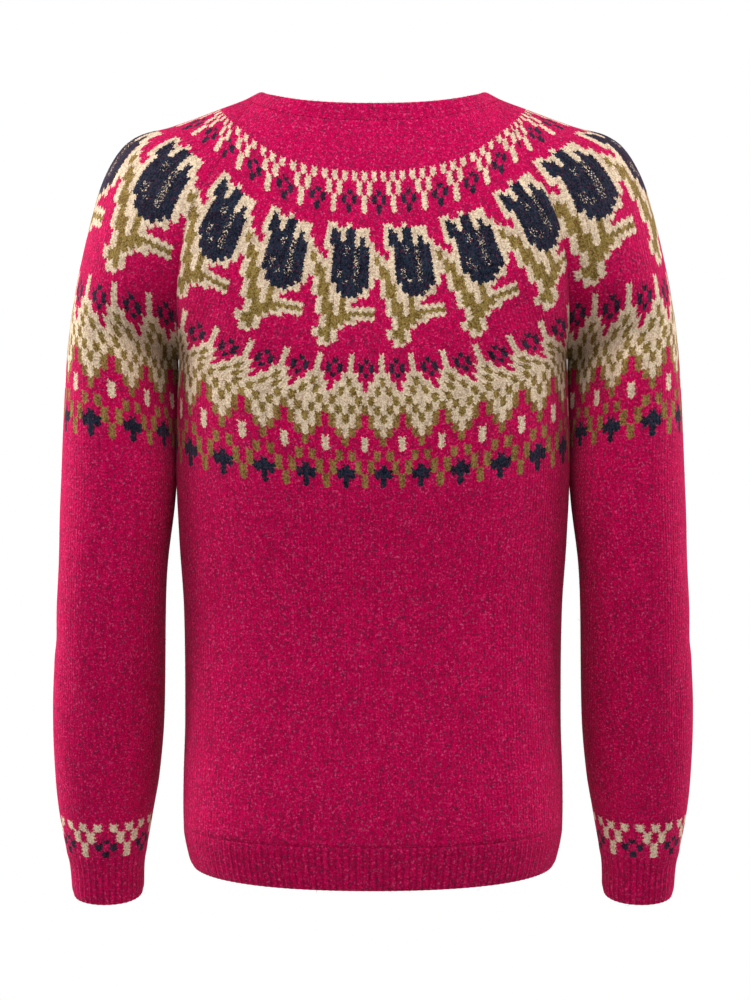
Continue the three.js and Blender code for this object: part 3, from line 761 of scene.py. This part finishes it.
def wool(name, layout=None, rib_shade=None):
    """Brushed heather wool. A layout adds the yoke's pattern, and for a ribbed band a value from 0 to 1
    sets how dark the shade painted between the ribs is."""
    paint = Paint(name)
    place = paint.node("ShaderNodeTexCoord", None, None, 3)
    stitch = paint.node("ShaderNodeAttribute", {"attribute_name": "stitch"}, None, 1)
    parts = paint.node("ShaderNodeSeparateXYZ", None, {0: stitch}).socket.node
    across, row = Wire(paint, parts.outputs[0]), Wire(paint, parts.outputs[1])

    grain = paint.noise(place, 1500.0, 1.0, 0.6)
    speck = paint.noise(place, 800.0, 2.0, 0.7)
    tuft = paint.noise(place, 300.0, 2.0, 0.6)
    cloud = paint.noise(place, 45.0, 2.0, 0.5)

    if rib_shade is not None:
        column, line = across, row
        masks = None
    else:
        repeats = LAYOUTS[layout]
        sideways = (paint.noise(place, 900.0, 1.0, 0.6) - 0.5) * 0.9
        upright = (paint.noise(place, 760.0, 1.0, 0.6) - 0.5) * 1.1
        swerve = (paint.noise(place, 55.0, 1.0, 0.5) - 0.5) * 0.4
        centred = across - repeats["shift"]
        outward = centred.size()

        def columns(kind, stitches):
            rate, ease, start, spread = repeats[kind]
            slower = 1.0 - (row - TULIP_ROW) * spread
            return centred * (rate * stitches - outward * (ease * stitches)) * slower + start

        def band(flat, first, height=1.0):
            """Column and line of one band, bent into the V of each stitch and frayed."""
            line = (row - first) / height
            slant = ((flat.part() - 0.5).size() * 2.0 - 1.0) * 0.5
            tooth = ((line.part() - 0.5).size() * 2.0 - 0.5) * 0.2
            return flat + sideways + swerve + tooth, line + slant + upright + 0.3

        def overlaid(first, second):
            return paint.node("ShaderNodeVectorMath", {"operation": "ADD"}, {0: first, 1: second})

        check_column = columns("check", 6)
        tulip_column = columns("tulip", 12)
        lattice_column = columns("lattice", 6)
        check = chart_masks(paint, CHECK_BAND, *band(check_column, CHECK_ROW))
        tulips = chart_masks(paint, TULIPS, *band(tulip_column, TULIP_ROW))
        lattice = chart_masks(paint, LATTICE, *band(lattice_column, LATTICE_ROW))
        masks = overlaid(overlaid(check, tulips), lattice)
        if "cuff" in repeats:
            cuff = band(columns("cuff", 6), CUFF_BAND_ROW, CUFF_BAND_HEIGHT / len(CHECK_BAND))
            masks = overlaid(masks, chart_masks(paint, CHECK_BAND, *cuff))
        in_tulips, in_lattice = row.past(TULIP_ROW - 2.5), row.past(LATTICE_ROW - 0.5)
        column = check_column + (tulip_column - check_column) * in_tulips
        column = column + (lattice_column - column) * in_lattice
        line = row

    fleck = grain * 0.5 + speck * 0.85 + tuft * 0.35 + cloud * 0.1
    streak_place = paint.node("ShaderNodeCombineXYZ", None, {0: column * 0.9, 1: line * 0.1, 2: 0.0})
    streak = paint.noise(streak_place, 1.6, 2.0, 0.5)
    lightness = (fleck + (streak - 0.5) * 0.3).eased(0.7, 1.1)
    pink = paint.mix(lightness, PINK_DARK, PINK)
    pink = paint.mix(fleck.eased(1.0, 1.3) * 0.8, pink, PINK_LIGHT)
    dark_hair = paint.noise(place, 480.0, 2.0, 0.7)
    light_hair = paint.noise(place, 560.0, 2.0, 0.7)
    pink = paint.mix(dark_hair.eased(0.5, 0.66) * 0.72, pink, HEATHER_DARK)
    pink = paint.mix(light_hair.eased(0.57, 0.7) * 0.36, pink, HEATHER_LIGHT)
    colour = pink
    if masks is not None:
        cream_share, olive_share, navy_share = split(paint, masks)
        cream = paint.mix(lightness, CREAM_DARK, CREAM)
        olive = paint.mix(lightness, OLIVE_DARK, OLIVE)
        navy = paint.mix(lightness, NAVY_DARK, NAVY)
        colour = paint.mix(navy_share.eased(0.2, 0.55), colour, navy)
        colour = paint.mix(olive_share, colour, olive)
        colour = paint.mix((cream_share + (speck - 0.5) * 1.1).eased(0.44, 0.52), colour, cream)
        stray = paint.noise(place, 1000.0, 1.0, 0.5).eased(0.6, 0.8)
        colour = paint.mix(stray * 0.4, colour, pink)
        inside = Wire(paint, parts.outputs[2])
        colour = paint.mix(inside * 0.5, colour, pink)
    else:
        # Painted shade: the ribbed bands are darkened in a stripe that repeats with every rib, standing for
        # the shade between the ribs.
        rib_shade_mask = 1.0 - (across.part() - 0.5).size() * 2.0
        colour = paint.mix(rib_shade_mask.eased(0.35, 1.0) * rib_shade, colour, PINK_RIB_SHADE)

    # Each stitch is a V of two slanting legs, half felted over.
    leg = (column.part() - 0.5).size() * 2.0
    slanted = (line + leg * 0.5).part()
    bulge = 1.0 - ((slanted - 0.5).size() * 2.0)
    legs = 1.0 - ((leg - 0.5).size() * 2.0)
    relief = (bulge * 0.4 + legs * 0.6) * 0.5 + speck * 0.6 + tuft * 0.7
    bump = paint.node("ShaderNodeBump", None,
                      {"Strength": 0.8, "Distance": 0.0011, "Height": relief})
    shader = paint.node("ShaderNodeBsdfPrincipled", None, {
        "Base Color": colour, "Roughness": 0.95, "Specular IOR Level": 0.03,
        "Sheen Weight": 0.05, "Sheen Roughness": 0.5, "Sheen Tint": (1.0, 0.35, 0.5, 1),
        "Normal": bump})
    paint.node("ShaderNodeOutputMaterial", None, {"Surface": shader})
    return paint.material


panel_wool = wool("panel_wool", "panel")
# The painted rib shade is stronger on the hem and cuffs than on the neckband.
rib_wool = wool("rib_wool", rib_shade=0.5)
neck_wool = wool("neck_rib_wool", rib_shade=0.2)
MATERIALS = {
    "knit_back": panel_wool, "knit_front": panel_wool, "rib_neck": neck_wool,
    "knit_sleeve_right": wool("right_sleeve_wool", "sleeve_right"),
    "knit_sleeve_left": wool("left_sleeve_wool", "sleeve_left"),
}

for name, obj in pieces.items():
    obj.data.materials.append(MATERIALS.get(name, rib_wool))
    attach(obj, "root")
    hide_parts(STANDS_FOR[name])


# Wool fibres that lie loose on the cloth and keep the colour of the stitch they grow from

FIBRE_LENGTH, FIBRE_WIDTH, FIBRE_LIFT, FIBRE_BEND = 3.6, 0.2, 0.4, 1.2
FIBRE_SPANS = 3
FIBRES = {
    "knit_back": (20000, 11), "knit_front": (14000, 12), "knit_sleeve_right": (13000, 13),
    "knit_sleeve_left": (13000, 14), "rib_neck": (1500, 15), "rib_hem_back": (1500, 16),
    "rib_hem_front": (1200, 17), "rib_cuff_right": (900, 18), "rib_cuff_left": (900, 19),
}


def loose_fibre():
    """One short bent strip that starts in the cloth and lies back down on it."""
    vertices, faces = [], []
    for k in range(FIBRE_SPANS + 1):
        t = k / FIBRE_SPANS
        half = FIBRE_WIDTH / 2 * (1 - 0.6 * t)
        x, y = FIBRE_LENGTH * t, FIBRE_BEND * t * t
        z = FIBRE_LIFT * math.sin(math.pi * t * 0.85) - 0.15
        vertices += [(x * MM, (y - half) * MM, z * MM), (x * MM, (y + half) * MM, z * MM)]
    for k in range(FIBRE_SPANS):
        faces.append((2 * k, 2 * k + 2, 2 * k + 3, 2 * k + 1))
    mesh = bpy.data.meshes.new("loose_fibre")
    mesh.from_pydata(vertices, [], faces)
    return bpy.data.objects.new("loose_fibre", mesh)


def fibre_nodes():
    """Geometry Nodes that scatter fibres on the outer face of a cloth."""
    tree = bpy.data.node_groups.new("fibres", "GeometryNodeTree")
    face = tree.interface
    sockets = {}
    for name, kind in (("Cloth", "NodeSocketGeometry"), ("Fibres a square metre", "NodeSocketFloat"),
                       ("Seed", "NodeSocketInt"), ("Fibre", "NodeSocketObject"),
                       ("Wool", "NodeSocketMaterial")):
        sockets[name] = face.new_socket(name, in_out="INPUT", socket_type=kind).identifier
    face.new_socket("Fibres", in_out="OUTPUT", socket_type="NodeSocketGeometry")

    def node(kind, links=None, **settings):
        made = tree.nodes.new(kind)
        for key, value in settings.items():
            setattr(made, key, value)
        for key, value in (links or {}).items():
            if isinstance(value, bpy.types.NodeSocket):
                tree.links.new(value, made.inputs[key])
            else:
                made.inputs[key].default_value = value
        return made

    given = node("NodeGroupInput").outputs
    stitch = node("GeometryNodeInputNamedAttribute", {"Name": "stitch"}, data_type="FLOAT_VECTOR")
    lining = node("ShaderNodeSeparateXYZ", {0: stitch.outputs["Attribute"]}).outputs[2]
    outer = node("FunctionNodeCompare", {0: lining, 1: 0.25}, data_type="FLOAT", operation="LESS_THAN")
    spots = node("GeometryNodeDistributePointsOnFaces",
                 {"Mesh": given["Cloth"], "Selection": outer.outputs[0],
                  "Density": given["Fibres a square metre"], "Seed": given["Seed"]})
    spin = node("FunctionNodeRandomValue", {2: 0.0, 3: math.tau, "Seed": given["Seed"]}, data_type="FLOAT")
    turned = node("ShaderNodeCombineXYZ", {2: spin.outputs[1]})
    by = node("FunctionNodeEulerToRotation", {0: turned.outputs[0]})
    lay = node("FunctionNodeRotateRotation", {0: spots.outputs["Rotation"], 1: by.outputs[0]},
               rotation_space="LOCAL")
    size = node("FunctionNodeRandomValue", {0: (0.5, -1.3, 0.3), 1: (1.3, 1.3, 1.3), "Seed": given["Seed"]},
                data_type="FLOAT_VECTOR")
    fibre = node("GeometryNodeObjectInfo", {"Object": given["Fibre"]})
    placed = node("GeometryNodeInstanceOnPoints",
                  {"Points": spots.outputs["Points"], "Instance": fibre.outputs["Geometry"],
                   "Rotation": lay.outputs[0], "Scale": size.outputs[0]})
    real = node("GeometryNodeRealizeInstances", {0: placed.outputs[0]})
    dyed = node("GeometryNodeSetMaterial", {"Geometry": real.outputs[0], "Material": given["Wool"]})
    node("NodeGroupOutput", {0: dyed.outputs[0]})
    return tree, sockets


def outer_area(obj):
    faces = len(obj.data.polygons)
    areas, lining = np.empty(faces), np.empty(len(obj.data.vertices) * 3)
    obj.data.polygons.foreach_get("area", areas)
    obj.data.attributes["stitch"].data.foreach_get("vector", lining)
    corners = np.empty(faces * 4, np.int32)
    obj.data.loops.foreach_get("vertex_index", corners)
    inside = lining.reshape(-1, 3)[corners.reshape(-1, 4), 2].mean(axis=1)
    return float(areas[inside < 0.25].sum())


def cut_size(side, ring):
    """Width of a cloth's widest row and height of all its rows, in metres: its flat cut."""
    grid = np.concatenate([side["grid"], side["grid"][:, :1]], axis=1) if ring else side["grid"]
    widths = np.linalg.norm(np.diff(grid, axis=1), axis=2).sum(axis=1)
    rows = side["rows"].max() - side["rows"].min()
    return float(widths.max()) * MM, float(rows) * ROW_HEIGHT * MM


fibre_tree, fibre_sockets = fibre_nodes()
fibre_object = loose_fibre()
for name, (count, seed) in FIBRES.items():
    source = pieces[name]
    tufts = bpy.data.objects.new(name + "_fibres", source.data.copy())
    bpy.context.scene.collection.objects.link(tufts)
    modifier = tufts.modifiers.new("fibres", "NODES")
    modifier.node_group = fibre_tree
    modifier[fibre_sockets["Fibres a square metre"]] = count / outer_area(source)
    modifier[fibre_sockets["Seed"]] = seed
    modifier[fibre_sockets["Fibre"]] = fibre_object
    modifier[fibre_sockets["Wool"]] = MATERIALS.get(name, rib_wool)
    graph = bpy.context.evaluated_depsgraph_get()
    baked = bpy.data.meshes.new_from_object(tufts.evaluated_get(graph))
    tufts.modifiers.clear()
    tufts.data = baked
    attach(tufts, "root")
    flat = cut_size(CLOTHS[name], name in RINGS)
    if name.startswith("rib"):
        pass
    else:
        outer_area(source)
bpy.data.objects.remove(fibre_object)


# Room, light and camera

def plain(name, colour, strength=None):
    paint = Paint(name)
    if strength is None:
        shader = paint.node("ShaderNodeBsdfPrincipled", None, {"Base Color": colour, "Roughness": 0.9})
    else:
        shader = paint.node("ShaderNodeEmission", None, {"Color": colour, "Strength": strength})
    paint.node("ShaderNodeOutputMaterial", None, {"Surface": shader})
    return paint.material


def area_light(name, place, aim, size, power, colour=(1, 1, 1)):
    light = bpy.data.lights.new(name, "AREA")
    light.shape = "DISK"
    light.size, light.energy, light.color = size, power, colour
    obj = bpy.data.objects.new(name, light)
    obj.location = place
    obj.rotation_euler = (Vector(aim) - Vector(place)).to_track_quat("-Z", "Y").to_euler()
    bpy.context.scene.collection.objects.link(obj)


scene = bpy.context.scene
scene.view_settings.view_transform = "Standard"
scene.world = bpy.data.worlds.new("room")
scene.world.use_nodes = True
scene.world.node_tree.nodes["Background"].inputs["Color"].default_value = (1, 1, 1, 1)
scene.world.node_tree.nodes["Background"].inputs["Strength"].default_value = 0.2

bpy.ops.mesh.primitive_circle_add(vertices=96, radius=1.5, fill_type="NGON", location=(0, 0, -1.05))
floor = bpy.context.object
floor.name = "floor"
floor.data.materials.append(plain("pale_floor", (0.7, 0.7, 0.7, 1)))
bpy.ops.mesh.primitive_plane_add(size=10, location=(0, 2.6, -0.3), rotation=(math.radians(90), 0, 0))
backdrop = bpy.context.object
backdrop.name = "backdrop"
backdrop.data.materials.append(plain("white_backdrop", (1, 1, 1, 1), 1.0))

area_light("key", (0.0, -0.95, 0.92), (0, 0, -0.2), 1.0, 27)
area_light("side_right", (1.3, 0.33, 0.0), (0.1, 0, -0.3), 0.8, 17.5)
area_light("side_left", (-1.3, 0.33, 0.0), (-0.1, 0, -0.3), 0.8, 28)

PIXEL = 0.776
DISTANCE = 1800.0
camera = bpy.data.cameras.new("camera")
camera.sensor_fit = "VERTICAL"
camera.sensor_height = 24.0
camera.lens = 24.0 * DISTANCE / (1000 * PIXEL)
camera.clip_end = 20
viewer = bpy.data.objects.new("camera", camera)
viewer.location = (2.0 * PIXEL * MM, -DISTANCE * MM, -0.3166)
viewer.rotation_euler = (math.radians(90), 0, 0)
scene.collection.objects.link(viewer)
scene.camera = viewer
